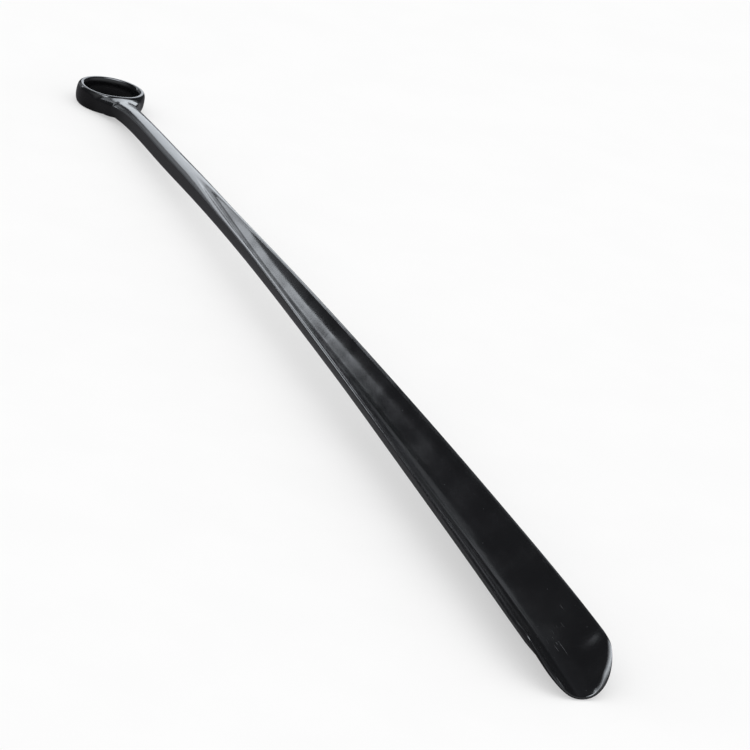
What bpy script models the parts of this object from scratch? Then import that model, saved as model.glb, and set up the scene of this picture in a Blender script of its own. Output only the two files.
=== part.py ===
"""Long shoehorn: one moulded plastic piece with a hanging ring, a solid shaft
and a trough-shaped blade that ends in a rounded tip.

The shoehorn lies on its back with the trough open upward. +X runs from the
ring to the tip, +Y across, +Z up. The origin is under the middle of the
length, on the plane that the ring's flat underside rests on. Units: metres.
"""
import bmesh
import bpy
import numpy as np

MM = 0.001

# Overall
LENGTH = 600 * MM
RING_END_X = -LENGTH / 2

# Hanging ring: an upright oval section turned about Z, with a flat underside
RING_OUTER_RADIUS = 16.4 * MM
RING_WALL = 3.7 * MM
RING_HEIGHT = 9.5 * MM
RING_SECTION_POWER = 2.3
RING_FLAT_WIDTH = 1.6 * MM
RING_SECTION_POINTS = 18
RING_STEPS = 56

# Web: the wedge that carries the ring, from the ring's wall into the shaft
WEB_TOP = 9.0 * MM
WEB_BOTTOM = 1.3 * MM
WEB_ROUNDING = 0.6 * MM
WEB_ROUNDING_STEPS = 2
WEB_RING_ANGLE = 52
WEB_RING_POINTS = 9
WEB_SIDE_MM = ((27.0, 12.2), (31.2, 10.3), (36.0, 8.4), (43.0, 6.3), (50.0, 4.6))

# Shaft and blade, one row per station. Heights are above the resting plane.
# distance from ring end, half width, rim height, underside height,
# groove depth below the rims (negative: no groove yet), radius at the groove's
# bottom, power of the lower curve (not a length)
STATIONS_MM = (
    (31.2, 6.6, 7.9, 0.3, -3.0, 2.5, 5.0),
    (36.0, 5.4, 8.5, 0.6, -3.0, 2.5, 5.0),
    (43.0, 5.3, 9.2, 1.5, -3.0, 2.5, 5.0),
    (60.0, 4.7, 10.4, 2.8, -3.0, 2.5, 5.0),
    (110.0, 4.9, 12.6, 4.8, -3.0, 2.5, 5.0),
    (150.0, 5.1, 14.3, 6.5, -1.2, 2.5, 4.4),
    (190.0, 5.5, 15.6, 7.7, 2.0, 2.5, 3.6),
    (240.0, 6.7, 16.9, 8.3, 5.4, 2.5, 2.8),
    (300.0, 8.7, 17.7, 8.0, 7.8, 3.3, 2.3),
    (360.0, 10.6, 17.9, 6.9, 9.2, 4.5, 2.0),
    (430.0, 12.7, 17.5, 5.0, 10.2, 6.1, 2.0),
    (500.0, 14.7, 16.3, 3.1, 10.6, 8.2, 2.0),
    (560.0, 16.3, 14.4, 1.1, 10.8, 10.1, 2.0),
    (600.0, 17.2, 12.0, -0.5, 10.9, 11.4, 2.0),
)
POWER_COLUMN = 6
RIM_WALL = 1.5 * MM
RIM_ROUNDING = 0.7 * MM
CROWN_HEIGHT = 1.0 * MM
CROWN_FADE_START = 140 * MM
CROWN_FADE_LENGTH = 100 * MM
GROOVE_BLEND = 0.5 * MM

# Rounded tip: length of the rounded end, squareness of its outline, edge radius
# and how much thinner the blade gets toward its edge
TIP_LENGTH = 34 * MM
TIP_POWER = 2.6
TIP_RUN_IN = 30 * MM
TIP_EDGE_RADIUS = 0.8 * MM
TIP_EDGE_THINNING = 0.4

# Mesh density
NECK_LENGTH = 14 * MM
NECK_ROWS = 5
BODY_STEP = 10.5 * MM
GROOVE_POINTS = 8
RIM_FRACTIONS = (0.62, 0.3, 0.08, 0.0)
DENSE = 200
TIP_FRACTIONS = (0.15, 0.3, 0.45, 0.6, 0.72, 0.82, 0.9, 0.955)
TIP_EDGE_STEPS = (1.0, 0.45, 0.12, 0.0)


def station_curve(column):
    """Natural cubic curve through one column of the station table."""
    table = np.array(STATIONS_MM) * MM
    if column == POWER_COLUMN:
        table[:, column] /= MM
    knots, values = table[:, 0], table[:, column]
    gaps = np.diff(knots)
    count = len(knots)
    system = np.eye(count)
    slopes = np.diff(values) / gaps
    target = np.zeros(count)
    for i in range(1, count - 1):
        system[i, i - 1:i + 2] = gaps[i - 1], 2 * (gaps[i - 1] + gaps[i]), gaps[i]
        target[i] = 6 * (slopes[i] - slopes[i - 1])
    bend = np.linalg.solve(system, target)

    def value(distance):
        i = np.clip(np.searchsorted(knots, distance) - 1, 0, count - 2)
        before = distance - knots[i]
        after = knots[i + 1] - distance
        gap = gaps[i]
        cubic = (bend[i] * after ** 3 + bend[i + 1] * before ** 3) / (6 * gap)
        start = values[i] / gap - bend[i] * gap / 6
        end = values[i + 1] / gap - bend[i + 1] * gap / 6
        return cubic + start * after + end * before

    return value


half_width = station_curve(1)
rim_height = station_curve(2)
underside = station_curve(3)
groove_depth = station_curve(4)
groove_radius = station_curve(5)
lower_power = station_curve(POWER_COLUMN)


def top_height(x, y):
    """Upper surface: the crowned shaft top with the groove sunk into it."""
    width, rim, depth = half_width(x), rim_height(x), groove_depth(x)
    fade = np.clip(1 - (x - CROWN_FADE_START) / CROWN_FADE_LENGTH, 0, 1)
    into_edge = np.clip((np.abs(y) - width + RIM_ROUNDING) / RIM_ROUNDING, 0, 1)
    land = rim + fade * CROWN_HEIGHT * (1 - (y / width) ** 2)
    land = land - RIM_ROUNDING * (1 - np.sqrt(1 - into_edge ** 2))
    groove = rim - depth + y ** 2 / (2 * groove_radius(x))
    mix = np.clip(0.5 + 0.5 * (groove - land) / GROOVE_BLEND, 0, 1)
    return groove * (1 - mix) + land * mix - GROOVE_BLEND * mix * (1 - mix)


def bottom_height(x, y):
    """Lower surface: square-sided under the shaft, a parabola under the blade."""
    low = underside(x)
    side = rim_height(x) - RIM_ROUNDING - low
    return low + side * np.abs(y / half_width(x)) ** lower_power(x)


def even_spacing(y, z, count):
    """Pick count values of y that lie evenly along the curve (y, z)."""
    run = np.concatenate(([0], np.cumsum(np.hypot(np.diff(y), np.diff(z)))))
    return np.interp(np.linspace(0, run[-1], count), run, y)


def mirrored(half):
    """Turn values from centre to rim into values from rim to rim."""
    return np.concatenate((-half[:0:-1], half))


def top_spacing(x):
    """Positions across the top as fractions of the half width."""
    width = half_width(x)
    y = np.linspace(0, width - RIM_WALL, DENSE)
    groove = even_spacing(y, top_height(x, y), GROOVE_POINTS)
    rim = width - RIM_WALL * np.array(RIM_FRACTIONS)
    return mirrored(np.concatenate((groove, rim)) / width)


def bottom_spacing(x):
    """Positions across the underside as fractions of the half width."""
    width = half_width(x)
    y = width * np.sin(np.linspace(0, np.pi / 2, DENSE))
    count = GROOVE_POINTS + len(RIM_FRACTIONS)
    return mirrored(even_spacing(y, bottom_height(x, y), count) / width)


def tip_outline(fraction):
    """Distance from the ring end to the tip's edge at a fraction of the width."""
    reach = np.clip(1 - np.abs(fraction) ** TIP_POWER, 0, 1) ** (1 / TIP_POWER)
    return LENGTH - TIP_LENGTH * (1 - reach)


def tip_spacing():
    """Positions spread evenly round the tip's outline, closer along the rims."""
    width = half_width(LENGTH - TIP_LENGTH)
    fraction = np.linspace(0, 1 - RIM_WALL / width, DENSE)
    front = even_spacing(fraction * width, tip_outline(fraction), GROOVE_POINTS)
    rim = width - RIM_WALL * np.array(RIM_FRACTIONS)
    return mirrored(np.concatenate((front, rim)) / width)


def body_sheets():
    """Grids of points for the upper and the lower surface, ring end to tip."""
    start = STATIONS_MM[0][0] * MM
    run_in = LENGTH - TIP_LENGTH - TIP_RUN_IN
    neck_end = start + NECK_LENGTH
    neck = np.linspace(start, neck_end, NECK_ROWS, endpoint=False)
    blade = np.linspace(neck_end, run_in, round((run_in - neck_end) / BODY_STEP) + 1)
    upper, lower = [], []
    for x in np.concatenate((neck, blade)):
        for rows, spacing, height in ((upper, top_spacing, top_height),
                                      (lower, bottom_spacing, bottom_height)):
            y = half_width(x) * spacing(x)
            rows.append(np.column_stack((np.full_like(y, x), y, height(x, y))))

    last = tip_spacing()
    reach = TIP_LENGTH + TIP_RUN_IN
    edge = np.array(TIP_EDGE_STEPS)
    steps = np.concatenate((TIP_FRACTIONS, 1 - edge * TIP_EDGE_RADIUS / reach))
    fullness = np.concatenate((np.ones(len(TIP_FRACTIONS)), np.sqrt(1 - (1 - edge) ** 2)))
    for step, full in zip(steps, fullness):
        for rows, spacing, sign in ((upper, top_spacing, 1), (lower, bottom_spacing, -1)):
            fraction = (1 - step) * spacing(run_in) + step * last
            x = run_in + step * (tip_outline(fraction) - run_in)
            y = fraction * half_width(np.minimum(x, LENGTH - TIP_LENGTH))
            top = top_height(x, y)
            thickness = (top - bottom_height(x, y)) * (1 - TIP_EDGE_THINNING * step ** 2)
            z = top - thickness / 2 + sign * full * thickness / 2
            rows.append(np.column_stack((x, y, z)))
    return np.array(upper), np.array(lower)


def new_object(name, mesh, collection):
    obj = bpy.data.objects.new(name, mesh)
    collection.objects.link(obj)
    return obj


def make_body(collection):
    """Loft the shaft and blade as one closed skin."""
    upper, lower = body_sheets()
    rows, across = upper.shape[:2]
    bm = bmesh.new()

    def add(point):
        return bm.verts.new((point[0] + RING_END_X, point[1], point[2]))

    top = [[add(point) for point in row] for row in upper]
    bottom = [[row[0]] + [add(point) for point in low[1:-1]] + [row[-1]]
              for row, low in zip(top[:-1], lower[:-1])]
    bottom.append(top[-1])
    for i in range(rows - 1):
        for j in range(across - 1):
            bm.faces.new((top[i][j], top[i + 1][j], top[i + 1][j + 1], top[i][j + 1]))
            ring = (bottom[i][j], bottom[i][j + 1], bottom[i + 1][j + 1], bottom[i + 1][j])
            bm.faces.new(ring)
    bm.faces.new(top[0] + bottom[0][-2:0:-1])
    bmesh.ops.recalc_face_normals(bm, faces=bm.faces)
    mesh = bpy.data.meshes.new("shoehorn_body")
    bm.to_mesh(mesh)
    bm.free()
    return new_object("shoehorn_body", mesh, collection)


def ring_profile():
    """Oval section of the ring with a flat underside, down its outer side first."""
    turn = np.linspace(0, 2 * np.pi, RING_SECTION_POINTS, endpoint=False)
    across, up = np.sin(turn), np.cos(turn)
    power = 2 / RING_SECTION_POWER
    radius = RING_WALL / 2 * np.sign(across) * np.abs(across) ** power
    height = RING_HEIGHT / 2 * np.sign(up) * np.abs(up) ** power
    flat = np.abs(radius) <= RING_FLAT_WIDTH / 2 + RING_WALL / 20
    height[flat & (up < 0)] = -RING_HEIGHT / 2
    middle = RING_OUTER_RADIUS - RING_WALL / 2
    return [(middle + r, 0, RING_HEIGHT / 2 + z) for r, z in zip(radius, height)]


def make_ring(collection):
    """Turn the ring about its own axis."""
    points = ring_profile()
    edges = [(i, (i + 1) % len(points)) for i in range(len(points))]
    mesh = bpy.data.meshes.new("ring_blank")
    mesh.from_pydata(points, edges, [])
    ring = new_object("ring_blank", mesh, collection)
    ring.location.x = RING_END_X + RING_OUTER_RADIUS
    screw = ring.modifiers.new("turn", "SCREW")
    screw.steps = RING_STEPS
    screw.render_steps = RING_STEPS
    screw.use_merge_vertices = True
    screw.merge_threshold = 0.01 * MM
    ring.hide_render = True
    ring.display_type = "WIRE"
    return ring


def make_web(collection):
    """Extrude the wedge's plan outline and round its edges."""
    turn = np.radians(np.linspace(WEB_RING_ANGLE, -WEB_RING_ANGLE, WEB_RING_POINTS))
    middle = RING_OUTER_RADIUS - RING_WALL / 2
    side = np.array(WEB_SIDE_MM) * MM
    outline = [(x, -y) for x, y in side] + [(x, y) for x, y in side[::-1]]
    outline += [(RING_OUTER_RADIUS + middle * np.cos(a), middle * np.sin(a)) for a in turn]

    curve = bpy.data.curves.new("web_outline", "CURVE")
    curve.dimensions = "2D"
    curve.fill_mode = "BOTH"
    curve.extrude = (WEB_TOP - WEB_BOTTOM) / 2
    spline = curve.splines.new("POLY")
    spline.points.add(len(outline) - 1)
    for point, (x, y) in zip(spline.points, outline):
        point.co = (x + RING_END_X, y, 0, 1)
    spline.use_cyclic_u = True
    drawn = new_object("web_outline", curve, collection)
    graph = bpy.context.evaluated_depsgraph_get()
    mesh = bpy.data.meshes.new_from_object(drawn.evaluated_get(graph))
    bpy.data.objects.remove(drawn)
    bm = bmesh.new()
    bm.from_mesh(mesh)
    bmesh.ops.remove_doubles(bm, verts=bm.verts, dist=0.01 * MM)
    bmesh.ops.recalc_face_normals(bm, faces=bm.faces)
    bm.to_mesh(mesh)
    bm.free()

    web = new_object("web_blank", mesh, collection)
    web.location.z = (WEB_TOP + WEB_BOTTOM) / 2
    edges = web.modifiers.new("rounding", "BEVEL")
    edges.width = WEB_ROUNDING
    edges.segments = WEB_ROUNDING_STEPS
    edges.limit_method = "ANGLE"
    edges.angle_limit = np.radians(60)
    web.hide_render = True
    web.display_type = "WIRE"
    return web


def black_plastic():
    material = bpy.data.materials.new("gloss_black_plastic")
    material.use_nodes = True
    shader = material.node_tree.nodes["Principled BSDF"]
    shader.inputs["Base Color"].default_value = (0.012, 0.012, 0.013, 1)
    shader.inputs["Roughness"].default_value = 0.18
    return material


def main():
    for obj in list(bpy.data.objects):
        bpy.data.objects.remove(obj)
    parts = bpy.data.collections.new("long_shoehorn")
    cutters = bpy.data.collections.new("cutters")
    bpy.context.scene.collection.children.link(parts)
    bpy.context.scene.collection.children.link(cutters)

    body = make_body(parts)
    for blank in (make_ring(cutters), make_web(cutters)):
        join = body.modifiers.new(blank.name, "BOOLEAN")
        join.operation = "UNION"
        join.solver = "EXACT"
        join.object = blank
    body.data.materials.append(black_plastic())


main()
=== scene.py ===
"""Looks of the long shoehorn: one gloss black moulding on a pale studio floor.

The skin is one closed sheet, mostly of quads. The ring's grid is left open where
the neck joins it, rows of points run from that opening to the tip, and the neck
is pulled onto a smooth union of the ring, the web and the shaft. Lengths along
the body are measured from the ring end. Units: metres.
"""
import math

import bmesh
import bpy
import numpy as np
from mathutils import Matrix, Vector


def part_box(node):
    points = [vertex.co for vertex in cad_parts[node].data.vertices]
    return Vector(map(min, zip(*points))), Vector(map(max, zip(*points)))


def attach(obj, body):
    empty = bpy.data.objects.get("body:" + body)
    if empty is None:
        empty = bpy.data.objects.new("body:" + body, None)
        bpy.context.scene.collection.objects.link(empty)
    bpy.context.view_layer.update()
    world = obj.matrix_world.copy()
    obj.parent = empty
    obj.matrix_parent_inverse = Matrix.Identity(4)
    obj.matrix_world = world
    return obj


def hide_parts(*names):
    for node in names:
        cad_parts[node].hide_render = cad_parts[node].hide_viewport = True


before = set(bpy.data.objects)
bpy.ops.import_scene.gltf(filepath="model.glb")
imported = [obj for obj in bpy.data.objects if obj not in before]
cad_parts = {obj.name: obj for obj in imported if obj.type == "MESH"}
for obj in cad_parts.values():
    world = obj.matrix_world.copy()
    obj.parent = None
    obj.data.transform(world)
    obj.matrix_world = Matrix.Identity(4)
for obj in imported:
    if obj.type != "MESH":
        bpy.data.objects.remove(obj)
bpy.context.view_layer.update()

CAD_NODE = "shoehorn_body"
MM = 0.001

# Overall, from the CAD node's own box
cad_low, cad_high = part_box(CAD_NODE)
RING_END_X = cad_low.x
LENGTH = cad_high.x - cad_low.x

# Hanging ring: an upright oval section turned about Z
RING_OUTER_RADIUS = 16.4 * MM
RING_WALL = 3.7 * MM
RING_HEIGHT = 9.5 * MM
RING_TOP_POWER = 2.8
RING_LOW_POWER = 2.0
RING_RADIUS = RING_OUTER_RADIUS - RING_WALL / 2

# Shaft and blade: distance from ring end, half width, rim height, underside
# height, groove depth below the rims, groove radius, crown of the top, power of
# the lower curve (not a length)
STATIONS_MM = (
    (31.2, 10.4, 7.0, 1.2, -4.0, 2.5, 2.0, 4.0),
    (36.0, 8.4, 7.4, 1.3, -4.0, 2.5, 2.0, 4.0),
    (43.0, 6.3, 8.2, 1.7, -4.0, 2.5, 1.9, 4.0),
    (50.0, 5.1, 9.2, 2.2, -4.0, 2.5, 1.6, 4.4),
    (60.0, 4.6, 10.3, 2.9, -4.0, 2.5, 1.2, 5.0),
    (110.0, 4.9, 12.6, 4.8, -4.0, 2.5, 1.0, 5.0),
    (150.0, 5.1, 14.3, 6.5, -1.2, 2.5, 0.9, 4.4),
    (190.0, 5.5, 15.6, 7.7, 2.0, 2.5, 0.5, 3.6),
    (240.0, 6.7, 16.9, 8.3, 5.4, 2.5, 0.0, 2.8),
    (300.0, 8.7, 17.7, 8.0, 7.8, 3.3, 0.0, 2.3),
    (360.0, 10.6, 17.9, 6.9, 9.2, 4.5, 0.0, 2.0),
    (430.0, 12.7, 17.5, 5.0, 10.2, 6.1, 0.0, 2.0),
    (500.0, 14.7, 16.3, 3.1, 10.6, 8.2, 0.0, 2.0),
    (560.0, 16.3, 14.4, 1.1, 10.8, 10.1, 0.0, 2.0),
    (600.0, 17.2, 12.0, -0.5, 10.9, 11.4, 0.0, 2.0),
)
POWER_COLUMN = 7
RIM_WALL = 1.5 * MM
RIM_ROUNDING = 0.7 * MM
CROWN_POWER = 2.3
CROWN_FADE_START = 140 * MM
CROWN_FADE_LENGTH = 100 * MM
GROOVE_BLEND = 0.5 * MM

# Rounded tip: its edge is thinned, and rolls over on both sides
TIP_LENGTH = 34 * MM
TIP_POWER = 2.6
TIP_RUN_IN = 30 * MM
TIP_EDGE_RADIUS = 0.8 * MM
TIP_EDGE_THINNING = 0.4
TIP_EDGE_CROWDING = 1.5
CURL_START = 570 * MM
CURL_FULL = 581 * MM
CURL_SIDE = (0.2, 0.6)
CURL_WIDTH = 3.0 * MM
CURL_FADE = 10 * MM
CURL_RISE = 1.4 * MM

# Neck: a wedge-shaped web carries the ring, and the shaft's rounded top rises
# out of it along a pointed nose (bluntness: the share of its length cut off the point)
NECK_END = 60 * MM
WEB_TOP = 9.4 * MM
WEB_CROWN_RADIUS = 32 * MM
WEB_UNDERSIDE_LIFT = 0.1 * MM
WEB_FADE_START = 34 * MM
WEB_END = 50 * MM
WEB_FADE_INSET = 2.2 * MM
WEB_ROUNDING = 1.4 * MM
NOSE_START = 31.2 * MM
NOSE_LENGTH = 10 * MM
NOSE_WIDTH = 6.6 * MM
NOSE_POWER = 0.6
NOSE_BLUNTNESS = 0.01
RING_FILLET = 1.2 * MM
NOSE_FILLET = 0.5 * MM

# Mesh density, and the part of the ring's grid that is left open for the neck
RING_COLUMNS = 150
RING_ROWS = 80
OPEN_COLUMNS = 40
OPEN_ROWS = 32
OPEN_FIRST_ROW = 4
ACROSS = OPEN_COLUMNS + OPEN_ROWS
HALF_POINTS = ACROSS // 2 + 1
NECK_STEP = 0.55 * MM
BODY_STEP = 1.6 * MM
RIM_POINTS = 8
TIP_ROWS = 34
TIP_EDGE_ROWS = 7
DENSE = 400

# Evening out the neck: how far a point goes towards its neighbours' mean, and how
# it is pulled back onto the smooth union
RELAX_ROUNDS = 60
RELAX_SHARE = 0.6
SETTLE_ROUNDS = 4
PULL_NUDGE = 0.02 * MM
PULL_LIMIT = 1.0 * MM
LEAST_SLOPE_SQUARED = 0.05

# A small step for measuring slopes, and limits that keep shapes finite
SLOPE_NUDGE = 0.1 * MM
BULGE_LIMIT = 0.98
CENTRE_LIMIT = 1e-3
TINY = 1e-6

# Gloss black plastic: colours, and what each kind of mark adds to the share of
# the pale colour, to the roughness and to the surface (depths in mm). Specks are
# full within their core, the parting line within its first half width.
BLACK = (0.0042, 0.0042, 0.0048, 1)
PALE_MARK = (0.95, 0.97, 1.0, 1)
SCUFF_PALE, SCUFF_ROUGH, SCUFF_DEPTH_MM = 0.022, 0.25, -0.006
DUST_PALE = 0.10
SPECK_CORE = 0.6
EDGE_PALE, EDGE_ROUGH = 0.012, 0.12
SMUDGE_PALE, SMUDGE_ROUGH = 0.0012, 0.07
PLAIN_ROUGH, GRAIN_ROUGH = 0.09, 0.03
WAVE_DEPTH_MM, RIPPLE_DEPTH_MM = 0.10, 0.006
SCUFF_WIDTH_MM = 0.35
# stretch, turn in degrees, shift, noise levels where scuffs start and are full
SCUFFS = (
    ((160, 1, 1), 2.0, 0.0, 0.70, 0.78),
    ((70, 1, 4), 27.0, 5.0, 0.73, 0.80),
    ((60, 1, 4), -48.0, 9.0, 0.74, 0.81),
)
SCUFF_FADE_START = LENGTH / 2
SCUFF_FADE_LENGTH = 280 * MM
SCUFF_LEAST = 0.35
PARTING_HALF_WIDTHS = (0.05 * MM, 0.16 * MM)
PARTING_DEPTH_MM = 0.03
PARTING_END = (38 * MM, 42 * MM)

# Floor: colour in diffuse light and in reflections, and its own pale glow
FLOOR_REACH = 6.0
FLOOR_PALE = (0.48, 0.48, 0.48, 1)
FLOOR_DIM = (0.15, 0.15, 0.16, 1)
FLOOR_GLOW = (0.465, 0.475)
FLOOR_GLOW_REFLECTED = (0.02, 0.02, 0.02, 1)
FLOOR_ROUGHNESS = (0.80, 0.95)
FLOOR_NOISE = (0.3, 0.7)
FLOOR_GRAIN_MM = 0.01
WHITE = (1, 1, 1, 1)
NONE = (0, 0, 0, 1)

# Surround: what lights the scene, and what reflections see behind the ring and
# in front of the tip, with the directions (X, then Z) over which that changes
SURROUND_LIGHT = (1.06, 1.06, 1.06, 1)
SURROUND_BEHIND = (0.085, 0.09, 0.10, 1)
SURROUND_FRONT = (0.85, 0.88, 0.92, 1)
FRONT_ALONG = (-0.35, 0.55)
FRONT_UPWARD = (0.0, 0.45)

# Camera, at the photo's viewing angle
CAMERA_PLACE = (1.2506, -0.5458, 0.5058)
CAMERA_TURN = (68.932, -12.6, 69.817)
SENSOR_MM = 36
LENS_MM = 171

# Studio: the plane that the soft panels stand on, behind the ring end
PANEL_X = -1.0
PANEL_COLOUR = (0.89, 0.94, 1.0)
AREA_LIGHT_FACTOR = 4.0
# name, centre y, centre z, length, height, turn in degrees, radiance
SOFT_PANELS = (
    ("left_panel", -0.40, 0.43, 0.42, 0.15, 40, 3.5),
    ("middle_fill", -0.05, 0.40, 0.40, 0.20, 0, 0.6),
    ("far_right_fill", 0.68, 0.66, 0.24, 0.16, 0, 0.3),
    ("upper_right_panel", 0.08, 0.55, 0.26, 0.14, 0, 2.0),
    ("upper_left_panel", -0.17, 0.585, 0.26, 0.09, 0, 1.3),
    ("right_panel", 0.34, 0.2925, 0.32, 0.435, 0, 1.7),
    ("top_panel", 0.32, 0.80, 0.66, 0.14, 0, 0.3),
    ("low_panel", -0.35, 0.14, 0.50, 0.28, 0, 0.3),
)
# name, place, size along X and Y, radiance
OVERHEAD_PANELS = (
    ("overhead_wide", (-0.22, -0.10, 1.30), (1.0, 1.0), 2.0),
    ("overhead_middle", (-0.26, -0.10, 1.31), (0.7, 0.75), 3.0),
    ("overhead_core", (-0.30, -0.05, 1.32), (0.42, 0.5), 5.0),
)


# ---------------------------------------------------------------- surfaces

def station_curve(column):
    """Natural cubic curve through one column of the station table."""
    table = np.array(STATIONS_MM) * MM
    if column == POWER_COLUMN:
        table[:, column] /= MM
    knots, values = table[:, 0], table[:, column]
    gaps = np.diff(knots)
    count = len(knots)
    system = np.eye(count)
    slopes = np.diff(values) / gaps
    target = np.zeros(count)
    for i in range(1, count - 1):
        system[i, i - 1:i + 2] = gaps[i - 1], 2 * (gaps[i - 1] + gaps[i]), gaps[i]
        target[i] = 6 * (slopes[i] - slopes[i - 1])
    bend = np.linalg.solve(system, target)

    def value(distance):
        i = np.clip(np.searchsorted(knots, distance) - 1, 0, count - 2)
        before = distance - knots[i]
        after = knots[i + 1] - distance
        gap = gaps[i]
        cubic = (bend[i] * after ** 3 + bend[i + 1] * before ** 3) / (6 * gap)
        start = values[i] / gap - bend[i] * gap / 6
        end = values[i + 1] / gap - bend[i + 1] * gap / 6
        return cubic + start * after + end * before

    return value


half_width = station_curve(1)
rim_height = station_curve(2)
underside = station_curve(3)
groove_depth = station_curve(4)
groove_radius = station_curve(5)
crown_height = station_curve(6)
lower_power = station_curve(POWER_COLUMN)


def smooth_step(value, start, end):
    t = np.clip((value - start) / (end - start), 0, 1)
    return t * t * (3 - 2 * t)


def top_height(x, y):
    """Upper surface: the crowned shaft top with the groove sunk into it."""
    width, rim, depth = half_width(x), rim_height(x), groove_depth(x)
    side = np.clip(np.abs(y) / width, 0, 1)
    arch = (1 - side ** CROWN_POWER) ** (1 / CROWN_POWER)
    crowned = rim - RIM_ROUNDING + (RIM_ROUNDING + np.maximum(crown_height(x), 0)) * arch
    into_edge = np.clip((np.abs(y) - width + RIM_ROUNDING) / RIM_ROUNDING, 0, 1)
    flat = rim - RIM_ROUNDING * (1 - np.sqrt(1 - into_edge ** 2))
    fade = smooth_step(x, CROWN_FADE_START, CROWN_FADE_START + CROWN_FADE_LENGTH)
    land = crowned * (1 - fade) + flat * fade
    groove = rim - depth + y ** 2 / (2 * groove_radius(x))
    mix = np.clip(0.5 + 0.5 * (groove - land) / GROOVE_BLEND, 0, 1)
    return groove * (1 - mix) + land * mix - GROOVE_BLEND * mix * (1 - mix)


def bottom_height(x, y):
    """Lower surface: square-sided under the shaft, a parabola under the blade."""
    low = underside(x)
    side = rim_height(x) - RIM_ROUNDING - low
    return low + side * np.abs(y / half_width(x)) ** lower_power(x)


def ring_distance(points):
    """Roughly how far points lie outside the ring."""
    across = np.hypot(points[:, 0] - RING_OUTER_RADIUS, points[:, 1]) - RING_RADIUS
    up = points[:, 2] - RING_HEIGHT / 2
    power = np.where(up > 0, RING_TOP_POWER, RING_LOW_POWER)
    reach = (np.abs(across / (RING_WALL / 2)) ** power
             + np.abs(up / (RING_HEIGHT / 2)) ** power) ** (1 / power)
    return np.hypot(across, up) * (1 - 1 / np.maximum(reach, CENTRE_LIMIT))


def soft_union(first, second, fillet):
    """Smaller of two distances, blended where they come within a fillet."""
    mix = np.clip(0.5 + 0.5 * (second - first) / fillet, 0, 1)
    return second * (1 - mix) + first * mix - fillet * mix * (1 - mix)


def web_distance(points):
    """Roughly how far points lie outside the wedge between ring and shaft."""
    x, y, z = points.T
    taper = (half_width(x + SLOPE_NUDGE) - half_width(x - SLOPE_NUDGE)) / (2 * SLOPE_NUDGE)
    off_middle = np.clip((z - RING_HEIGHT / 2) / (RING_HEIGHT / 2), -BULGE_LIMIT, BULGE_LIMIT)
    bulge = RING_WALL / 2 * (1 - np.sqrt(1 - off_middle ** 2))
    fade = smooth_step(x, WEB_FADE_START, WEB_END)
    side = (np.abs(y) - half_width(x) + bulge + WEB_FADE_INSET * fade) / np.sqrt(1 + taper ** 2)
    above = z - WEB_TOP + y ** 2 / (2 * WEB_CROWN_RADIUS)
    below = underside(x) + WEB_UNDERSIDE_LIFT + WEB_FADE_INSET * fade - z
    wall = -soft_union(-above, -side, WEB_ROUNDING)
    wall = -soft_union(-below, -wall, WEB_ROUNDING)
    ring_side = RING_RADIUS - np.hypot(x - RING_OUTER_RADIUS, y)
    return np.maximum(np.maximum(wall, ring_side), x - WEB_END)


def shaft_distance(points):
    """Roughly how far points lie outside the shaft."""
    x, y, z = points.T
    along = np.clip((x - NOSE_START) / NOSE_LENGTH, NOSE_BLUNTNESS, 1)
    width = np.minimum(half_width(x), NOSE_WIDTH * along ** NOSE_POWER)
    low = underside(x)
    middle = rim_height(x) - RIM_ROUNDING
    rise = np.maximum(z - middle, 0)
    reach = ((np.abs(y) / width) ** CROWN_POWER
             + (rise / (RIM_ROUNDING + crown_height(x))) ** CROWN_POWER) ** (1 / CROWN_POWER)
    above = np.hypot(y, rise) * (1 - 1 / np.maximum(reach, CENTRE_LIMIT))
    power, side = lower_power(x), middle - low
    share = np.abs(y) / width
    slope = power * side / width * share ** (power - 1)
    below = (low + side * share ** power - z) / np.sqrt(1 + slope ** 2)
    return np.maximum(np.maximum(above, below), NOSE_START - x)


def skin_distance(points):
    """Ring, web and shaft joined with small fillets."""
    base = soft_union(ring_distance(points), web_distance(points), RING_FILLET)
    return soft_union(base, shaft_distance(points), NOSE_FILLET)


def pull_to_skin(points, rounds):
    """Newton steps along the gradient onto the zero level."""
    for _ in range(rounds):
        here = skin_distance(points)
        gradient = np.empty_like(points)
        for axis in range(3):
            step = np.zeros(3)
            step[axis] = PULL_NUDGE
            gradient[:, axis] = (skin_distance(points + step)
                                 - skin_distance(points - step)) / (2 * PULL_NUDGE)
        size = np.maximum((gradient ** 2).sum(1), LEAST_SLOPE_SQUARED)
        move = np.clip(here / size, -PULL_LIMIT, PULL_LIMIT)
        points = points - gradient * move[:, None]
    return points


# ---------------------------------------------------------------- rows of points

def even_spacing(y, z, count):
    """Pick count values of y that lie evenly along the curve (y, z)."""
    run = np.concatenate(([0], np.cumsum(np.hypot(np.diff(y), np.diff(z)))))
    return np.interp(np.linspace(0, run[-1], count), run, y)


def mirrored(half):
    """Turn values from centre to rim into values from rim to rim."""
    return np.concatenate((-half[:0:-1], half))


def eased(count):
    """Values from 1 down to 0, closer together at both ends."""
    return 0.5 + 0.5 * np.cos(np.linspace(0, np.pi, count))


def with_rim(inner, width):
    """Add closely spaced rim positions, mirror, and turn into fractions of the width."""
    rim = width - RIM_WALL * eased(RIM_POINTS + 1)[1:]
    return mirrored(np.concatenate((inner, rim)) / width)


def top_spacing(x):
    """Positions across the top as fractions of the half width."""
    width = half_width(x)
    y = np.linspace(0, width - RIM_WALL, DENSE)
    return with_rim(even_spacing(y, top_height(x, y), HALF_POINTS - RIM_POINTS), width)


def bottom_spacing(x):
    """Positions across the underside as fractions of the half width."""
    width = half_width(x)
    y = width * np.sin(np.linspace(0, np.pi / 2, DENSE))
    return mirrored(even_spacing(y, bottom_height(x, y), HALF_POINTS) / width)


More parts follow.
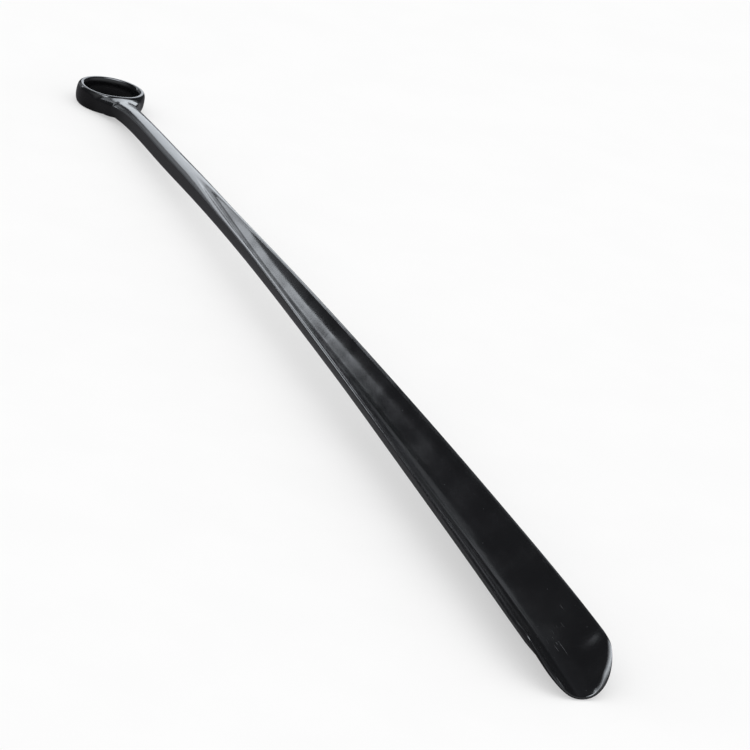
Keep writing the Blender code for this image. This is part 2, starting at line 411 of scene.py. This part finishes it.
def tip_outline(fraction):
    """Distance from the ring end to the tip's edge at a fraction of the width."""
    reach = np.clip(1 - np.abs(fraction) ** TIP_POWER, 0, 1) ** (1 / TIP_POWER)
    return LENGTH - TIP_LENGTH * (1 - reach)


def tip_spacing():
    """Positions spread evenly round the tip's outline, closer along the rims."""
    width = half_width(LENGTH - TIP_LENGTH)
    fraction = 1 - np.linspace(1, (RIM_WALL / width) ** 0.5, DENSE) ** 2
    outline = tip_outline(fraction)
    return with_rim(even_spacing(fraction * width, outline, HALF_POINTS - RIM_POINTS), width)


def edge_curl(x, y):
    """Rise of the sheet just inside the tip's edge, so the edge rolls over."""
    across = np.abs(y) / half_width(np.minimum(x, LENGTH - TIP_LENGTH))
    along = np.maximum(x - LENGTH + TIP_LENGTH, 0) / TIP_LENGTH
    level = np.maximum(across ** TIP_POWER + along ** TIP_POWER, TINY) ** (1 / TIP_POWER)
    slope = np.hypot(across ** (TIP_POWER - 1) / half_width(x),
                     along ** (TIP_POWER - 1) / TIP_LENGTH) * level ** (1 - TIP_POWER)
    inside = np.maximum(1 - level, 0) / np.maximum(slope, TINY)
    rise = 1 - np.clip(1 - inside / CURL_WIDTH, 0, 1) ** 2
    rise -= smooth_step(inside, CURL_WIDTH, CURL_WIDTH + CURL_FADE)
    share = smooth_step(across, *CURL_SIDE) * smooth_step(x, CURL_START, CURL_FULL)
    return CURL_RISE * rise * share


def sheet_row(x, spacing, height):
    """One row of points straight across the shaft or blade."""
    y = half_width(x) * spacing(x)
    return np.column_stack((np.full_like(y, x), y, height(x, y)))


def tip_row(step, full, last, run_in, spacing, sign):
    """One row across the tip: straight at step 0, along the tip's edge at step 1."""
    fraction = (1 - step) * spacing(run_in) + step * last
    x = run_in + step * (tip_outline(fraction) - run_in)
    y = fraction * half_width(np.minimum(x, LENGTH - TIP_LENGTH))
    top = top_height(x, y)
    thickness = (top - bottom_height(x, y)) * (1 - TIP_EDGE_THINNING * step ** 2)
    z = top + edge_curl(x, y) - thickness / 2 + sign * full * thickness / 2
    return np.column_stack((x, y, z))


def body_rows():
    """Closed loops of points from the end of the neck to the tip's edge."""
    run_in = LENGTH - TIP_LENGTH - TIP_RUN_IN
    loops = []
    for x in np.linspace(NECK_END, run_in, round((run_in - NECK_END) / BODY_STEP) + 1):
        loops.append((sheet_row(x, top_spacing, top_height),
                      sheet_row(x, bottom_spacing, bottom_height)))
    last = tip_spacing()
    reach = TIP_LENGTH + TIP_RUN_IN
    edge = eased(TIP_EDGE_ROWS) ** TIP_EDGE_CROWDING
    steps = np.concatenate((np.linspace(0, 1 - TIP_EDGE_RADIUS / reach, TIP_ROWS)[1:-1],
                            1 - edge * TIP_EDGE_RADIUS / reach))
    fullness = np.concatenate((np.ones(TIP_ROWS - 2), np.sqrt(1 - (1 - edge) ** 2)))
    for step, full in zip(steps, fullness):
        loops.append((tip_row(step, full, last, run_in, top_spacing, 1),
                      tip_row(step, full, last, run_in, bottom_spacing, -1)))
    return loops


def as_loop(top, bottom):
    """One closed loop from the top's middle: across to +Y, under, back to the middle."""
    middle = len(top) // 2
    return np.concatenate((top[middle:], bottom[-2:0:-1], top[:middle]))


def ring_grid():
    """Points of the ring: columns round the axis from +X, rows round the section."""
    turn = np.linspace(0, 2 * np.pi, DENSE * 4)
    power = 2 / np.where(np.cos(turn) > 0, RING_TOP_POWER, RING_LOW_POWER)
    across = RING_WALL / 2 * np.sign(np.sin(turn)) * np.abs(np.sin(turn)) ** power
    up = RING_HEIGHT / 2 * np.sign(np.cos(turn)) * np.abs(np.cos(turn)) ** power
    run = np.concatenate(([0], np.cumsum(np.hypot(np.diff(across), np.diff(up)))))
    at = np.linspace(0, run[-1], RING_ROWS, endpoint=False)
    across, up = np.interp(at, run, across), np.interp(at, run, up)
    angle = np.linspace(0, 2 * np.pi, RING_COLUMNS, endpoint=False)
    angle = angle - OPEN_COLUMNS * np.pi / RING_COLUMNS
    radius = RING_RADIUS + across
    grid = np.empty((RING_COLUMNS, RING_ROWS, 3))
    grid[:, :, 0] = RING_OUTER_RADIUS + radius * np.cos(angle)[:, None]
    grid[:, :, 1] = radius * np.sin(angle)[:, None]
    grid[:, :, 2] = RING_HEIGHT / 2 + up
    return grid


def opening_loop():
    """Indexes (column, row) round the ring's opening, from its top middle."""
    first, last = OPEN_FIRST_ROW, OPEN_FIRST_ROW + OPEN_ROWS
    middle = OPEN_COLUMNS // 2
    top = [(c, first) for c in range(middle, OPEN_COLUMNS)]
    right = [(OPEN_COLUMNS, r) for r in range(first, last)]
    under = [(c, last) for c in range(OPEN_COLUMNS, 0, -1)]
    left = [(0, r) for r in range(last, first, -1)]
    rest = [(c, first) for c in range(0, middle)]
    return top + right + under + left + rest


# ---------------------------------------------------------------- the skin

def add_object(name, data):
    made = bpy.data.objects.new(name, data)
    bpy.context.scene.collection.objects.link(made)
    return made


def skin_mesh():
    """Vertices and faces of the whole shoehorn, and where the body's rows start."""
    grid = ring_grid()
    points = [grid.reshape(-1, 3)]
    faces = []
    inside_columns = range(OPEN_COLUMNS)
    inside_rows = range(OPEN_FIRST_ROW, OPEN_FIRST_ROW + OPEN_ROWS)

    def ring_index(column, row):
        return (column % RING_COLUMNS) * RING_ROWS + row % RING_ROWS

    for c in range(RING_COLUMNS):
        for r in range(RING_ROWS):
            if c in inside_columns and r in inside_rows:
                continue
            faces.append((ring_index(c, r), ring_index(c, r + 1),
                          ring_index(c + 1, r + 1), ring_index(c + 1, r)))

    loops = body_rows()
    around = 2 * ACROSS
    opening = [ring_index(c, r) for c, r in opening_loop()]
    start = points[0][opening]
    end = as_loop(*loops[0])
    neck_rows = round((NECK_END - start[:, 0].max()) / NECK_STEP)
    shares = [k / neck_rows for k in range(1, neck_rows)]
    neck = [start * (1 - share) + end * share for share in shares]
    body = [as_loop(top, bottom) for top, bottom in loops[:-1]]
    previous = opening
    count = len(points[0])
    first_body = count + len(neck) * around
    for loop in neck + body:
        points.append(loop)
        row = list(range(count, count + around))
        faces += bridge(previous, row)
        previous = row
        count += around
    edge = loops[-1][0]
    points.append(edge)
    faces += close_tip(previous, list(range(count, count + len(edge))))
    return np.concatenate(points), faces, first_body


def bridge(first, second):
    """Quads between two loops of point indexes."""
    around = len(first)
    return [(first[i], first[(i + 1) % around], second[(i + 1) % around], second[i])
            for i in range(around)]


def close_tip(loop, edge):
    """Join the last loop to the line along the tip's edge, with all diagonals one way.

    Left as quads, the two that meet at each corner could be cut into one same triangle.
    """
    middle = len(edge) // 2
    line = edge[middle:] + edge[-2:0:-1] + edge[:middle]
    return [corners for a, b, c, d in bridge(loop, line) for corners in ((a, b, c), (a, c, d))]


def relaxed(points, faces, fixed):
    """Even out the free points while they stay on the smooth union."""
    edges = np.array(sorted({tuple(sorted((f[i], f[(i + 1) % len(f)])))
                             for f in faces for i in range(len(f))}))
    used = edges[(~fixed[edges]).any(1)]
    total = np.zeros(len(points))
    np.add.at(total, used[:, 0], 1)
    np.add.at(total, used[:, 1], 1)
    free = np.flatnonzero(~fixed & (total > 0))
    for _ in range(RELAX_ROUNDS):
        summed = np.zeros_like(points)
        np.add.at(summed, used[:, 0], points[used[:, 1]])
        np.add.at(summed, used[:, 1], points[used[:, 0]])
        average = summed[free] / total[free, None]
        moved = points[free] * (1 - RELAX_SHARE) + average * RELAX_SHARE
        points[free] = pull_to_skin(moved, 1)
    points[free] = pull_to_skin(points[free], SETTLE_ROUNDS)
    return points


def make_skin():
    points, faces, first_body = skin_mesh()
    ring_points = RING_COLUMNS * RING_ROWS
    fixed = np.arange(len(points)) >= first_body
    fixed[:ring_points] = points[:ring_points, 0] <= RING_OUTER_RADIUS
    points = relaxed(points, faces, fixed)
    points[:, 0] += RING_END_X
    mesh = bpy.data.meshes.new("long_shoehorn")
    mesh.from_pydata(points.tolist(), [], faces)
    bm = bmesh.new()
    bm.from_mesh(mesh)
    loose = [vertex for vertex in bm.verts if not vertex.link_faces]
    bmesh.ops.delete(bm, geom=loose, context="VERTS")
    bmesh.ops.recalc_face_normals(bm, faces=bm.faces)
    bm.to_mesh(mesh)
    bm.free()
    mesh.shade_smooth()
    return add_object("long_shoehorn", mesh)


# ---------------------------------------------------------------- looks

def give(tree, value, socket):
    """Set a socket to a plain value, or link another node's output to it."""
    if isinstance(value, bpy.types.NodeSocket):
        tree.links.new(value, socket)
    else:
        socket.default_value = value


def mixed(tree, first, second, share):
    """Colour between first and second."""
    node = tree.nodes.new("ShaderNodeMix")
    node.data_type = "RGBA"
    give(tree, first, node.inputs["A"])
    give(tree, second, node.inputs["B"])
    give(tree, share, node.inputs["Factor"])
    return node.outputs["Result"]


def axes_of(tree, output):
    """Separate X, Y and Z outputs of a kind of texture coordinate."""
    place = tree.nodes.new("ShaderNodeTexCoord")
    axes = tree.nodes.new("ShaderNodeSeparateXYZ")
    tree.links.new(place.outputs[output], axes.inputs["Vector"])
    return axes.outputs


def calculate(tree, operation, first, second=0.0):
    node = tree.nodes.new("ShaderNodeMath")
    node.operation = operation
    for socket, value in zip(node.inputs, (first, second)):
        give(tree, value, socket)
    return node.outputs["Value"]


def weighted(tree, total, parts):
    """A starting value plus each part times its weight."""
    for part, weight in parts:
        total = calculate(tree, "ADD", total, calculate(tree, "MULTIPLY", part, weight))
    return total


def spread(tree, value, low, high, start=0.0, end=1.0):
    """Map low..high onto start..end, held at both ends."""
    node = tree.nodes.new("ShaderNodeMapRange")
    node.interpolation_type = "SMOOTHSTEP"
    tree.links.new(value, node.inputs["Value"])
    for name, number in (("From Min", low), ("From Max", high), ("To Min", start), ("To Max", end)):
        node.inputs[name].default_value = number
    return node.outputs["Result"]


def cloud(tree, size_mm, detail=2.0, stretch=(1, 1, 1), turn=0.0, shift=0.0):
    """Noise with features of about size_mm, stretched along an axis turned about Z."""
    place = tree.nodes.new("ShaderNodeTexCoord")
    mapping = tree.nodes.new("ShaderNodeMapping")
    mapping.inputs["Rotation"].default_value = (0, 0, math.radians(turn))
    mapping.inputs["Scale"].default_value = [1 / (size_mm * MM * part) for part in stretch]
    mapping.inputs["Location"].default_value = (shift, shift, shift)
    noise = tree.nodes.new("ShaderNodeTexNoise")
    noise.inputs["Scale"].default_value = 1.0
    noise.inputs["Detail"].default_value = detail
    tree.links.new(place.outputs["Object"], mapping.inputs["Vector"])
    tree.links.new(mapping.outputs["Vector"], noise.inputs["Vector"])
    return noise.outputs["Fac"]


def specks(tree, spacing_mm, radius):
    """Small dots about spacing_mm apart, radius being a share of that spacing."""
    place = tree.nodes.new("ShaderNodeTexCoord")
    cells = tree.nodes.new("ShaderNodeTexVoronoi")
    cells.inputs["Scale"].default_value = 1 / (spacing_mm * MM)
    tree.links.new(place.outputs["Object"], cells.inputs["Vector"])
    return spread(tree, cells.outputs["Distance"], radius * SPECK_CORE, radius, 1.0, 0.0)


def bumped(tree, height, depth_mm, under=None):
    """Surface normal after raising it by height, on top of another bump if given."""
    node = tree.nodes.new("ShaderNodeBump")
    node.inputs["Strength"].default_value = 1.0
    node.inputs["Distance"].default_value = depth_mm * MM
    tree.links.new(height, node.inputs["Height"])
    if under is not None:
        tree.links.new(under, node.inputs["Normal"])
    return node.outputs["Normal"]


def scratches(tree):
    """Fine scuffs: mostly along the blade, some slanting, in worn patches."""
    lines = 0.0
    for stretch, turn, shift, first, full in SCUFFS:
        noise = cloud(tree, SCUFF_WIDTH_MM, 1.0, stretch, turn, shift)
        lines = calculate(tree, "MAXIMUM", lines, spread(tree, noise, first, full))
    patches = cloud(tree, size_mm=22, detail=2.0, stretch=(1.6, 1, 1), shift=3.0)
    worn = spread(tree, patches, low=0.46, high=0.62)
    middle = RING_END_X + SCUFF_FADE_START
    towards_tip = spread(tree, axes_of(tree, "Object")["X"], middle,
                         middle + SCUFF_FADE_LENGTH, SCUFF_LEAST, 1.0)
    return calculate(tree, "MULTIPLY", lines, calculate(tree, "MULTIPLY", worn, towards_tip))


def parting_line(tree):
    """The faint raised line that the two mould halves leave round the ring."""
    axes = axes_of(tree, "Object")
    off = calculate(tree, "SUBTRACT", axes["Z"], RING_HEIGHT / 2)
    near = spread(tree, calculate(tree, "ABSOLUTE", off), *PARTING_HALF_WIDTHS, 1.0, 0.0)
    low, high = [RING_END_X + distance for distance in PARTING_END]
    round_ring = spread(tree, axes["X"], low, high, 1.0, 0.0)
    return calculate(tree, "MULTIPLY", near, round_ring)


def node_material(name):
    """A new material, with its node tree and shader."""
    material = bpy.data.materials.new(name)
    material.use_nodes = True
    return material, material.node_tree, material.node_tree.nodes["Principled BSDF"]


def black_plastic():
    """Gloss black with smudges, scuffs, dust, rubbed edges and moulded waviness."""
    material, tree, shader = node_material("gloss_black_plastic")
    marks = scratches(tree)
    dusty = spread(tree, cloud(tree, size_mm=9, detail=1.0, shift=7.0), low=0.52, high=0.60)
    dust = calculate(tree, "MULTIPLY", specks(tree, spacing_mm=3.1, radius=0.055), dusty)
    smudge = spread(tree, cloud(tree, size_mm=14, detail=4.0), low=0.30, high=0.72)
    grain = cloud(tree, size_mm=0.8, detail=3.0, shift=2.0)
    pointiness = tree.nodes.new("ShaderNodeNewGeometry").outputs["Pointiness"]
    worn = spread(tree, cloud(tree, size_mm=3.0, detail=3.0, shift=4.0), low=0.40, high=0.60)
    edges = calculate(tree, "MULTIPLY", spread(tree, pointiness, low=0.53, high=0.60), worn)

    pale = weighted(tree, 0.0, ((marks, SCUFF_PALE), (dust, DUST_PALE), (edges, EDGE_PALE),
                                (smudge, SMUDGE_PALE)))
    tree.links.new(mixed(tree, BLACK, PALE_MARK, pale), shader.inputs["Base Color"])

    rough = weighted(tree, PLAIN_ROUGH, ((smudge, SMUDGE_ROUGH), (grain, GRAIN_ROUGH),
                                         (marks, SCUFF_ROUGH), (edges, EDGE_ROUGH)))
    tree.links.new(rough, shader.inputs["Roughness"])

    normal = bumped(tree, cloud(tree, size_mm=16, detail=1.0, shift=6.0), WAVE_DEPTH_MM)
    normal = bumped(tree, cloud(tree, size_mm=1.6, detail=2.0), RIPPLE_DEPTH_MM, normal)
    normal = bumped(tree, marks, SCUFF_DEPTH_MM, normal)
    normal = bumped(tree, parting_line(tree), PARTING_DEPTH_MM, normal)
    tree.links.new(normal, shader.inputs["Normal"])
    return material


# ---------------------------------------------------------------- studio

def by_ray(tree, camera_value, glossy_value, other_value):
    """Three values: what the camera sees, what reflects, what lights the rest."""
    path = tree.nodes.new("ShaderNodeLightPath")
    unseen = mixed(tree, other_value, glossy_value, path.outputs["Is Glossy Ray"])
    return mixed(tree, unseen, camera_value, path.outputs["Is Camera Ray"])


def make_floor():
    mesh = bpy.data.meshes.new("studio_floor")
    reach = FLOOR_REACH
    corners = [(-reach, -reach, 0), (reach, -reach, 0), (reach, reach, 0), (-reach, reach, 0)]
    mesh.from_pydata(corners, [], [(0, 1, 2, 3)])
    material, tree, shader = node_material("pale_floor")
    colour = by_ray(tree, FLOOR_PALE, FLOOR_DIM, FLOOR_PALE)
    patches = cloud(tree, size_mm=6, detail=4.0)
    rough = spread(tree, patches, *FLOOR_NOISE, *FLOOR_ROUGHNESS)
    normal = bumped(tree, cloud(tree, size_mm=0.9, detail=2.0), FLOOR_GRAIN_MM)
    glow = by_ray(tree, WHITE, FLOOR_GLOW_REFLECTED, NONE)
    mottled = spread(tree, cloud(tree, size_mm=40, detail=3.0), *FLOOR_NOISE, *FLOOR_GLOW)
    for name, value in (("Base Color", colour), ("Roughness", rough), ("Normal", normal),
                        ("Specular IOR Level", 0.0), ("Emission Color", glow),
                        ("Emission Strength", mottled)):
        give(tree, value, shader.inputs[name])
    mesh.materials.append(material)
    return add_object("studio_floor", mesh)


def make_world():
    """Even light all round; in reflections dark behind the ring and pale in front."""
    world = bpy.data.worlds.new("studio")
    world.use_nodes = True
    tree = world.node_tree
    direction = axes_of(tree, "Generated")
    front = calculate(tree, "MULTIPLY", spread(tree, direction["X"], *FRONT_ALONG),
                      spread(tree, direction["Z"], *FRONT_UPWARD))
    reflected = mixed(tree, SURROUND_BEHIND, SURROUND_FRONT, front)
    colour = by_ray(tree, WHITE, reflected, SURROUND_LIGHT)
    tree.links.new(colour, tree.nodes["Background"].inputs["Color"])
    bpy.context.scene.world = world


def soft_light(name, height, length, radiance):
    """An area light that shows only in reflections."""
    data = bpy.data.lights.new(name, "AREA")
    data.shape = "RECTANGLE"
    data.size = height
    data.size_y = length
    data.energy = AREA_LIGHT_FACTOR * radiance * length * height
    data.color = PANEL_COLOUR
    light = add_object(name, data)
    light.visible_camera = False
    light.visible_diffuse = False
    return light


def make_lights():
    """Soft panels behind the ring end, facing along +X, and others overhead."""
    for name, y, z, length, height, turn, radiance in SOFT_PANELS:
        light = soft_light(name, height, length, radiance)
        light.location = (PANEL_X, y, z)
        light.rotation_mode = "ZYX"
        light.rotation_euler = (math.radians(turn), -math.pi / 2, 0)
    for name, place, size, radiance in OVERHEAD_PANELS:
        soft_light(name, *size, radiance).location = place


def make_camera():
    data = bpy.data.cameras.new("camera")
    data.sensor_width = SENSOR_MM
    data.lens = LENS_MM
    camera = add_object("camera", data)
    camera.location = CAMERA_PLACE
    camera.rotation_euler = [math.radians(angle) for angle in CAMERA_TURN]
    bpy.context.scene.camera = camera


skin = make_skin()
skin.data.materials.append(black_plastic())
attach(skin, "root")
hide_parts(CAD_NODE)
make_floor()
make_world()
make_lights()
make_camera()
bpy.context.scene.view_settings.view_transform = "Standard"
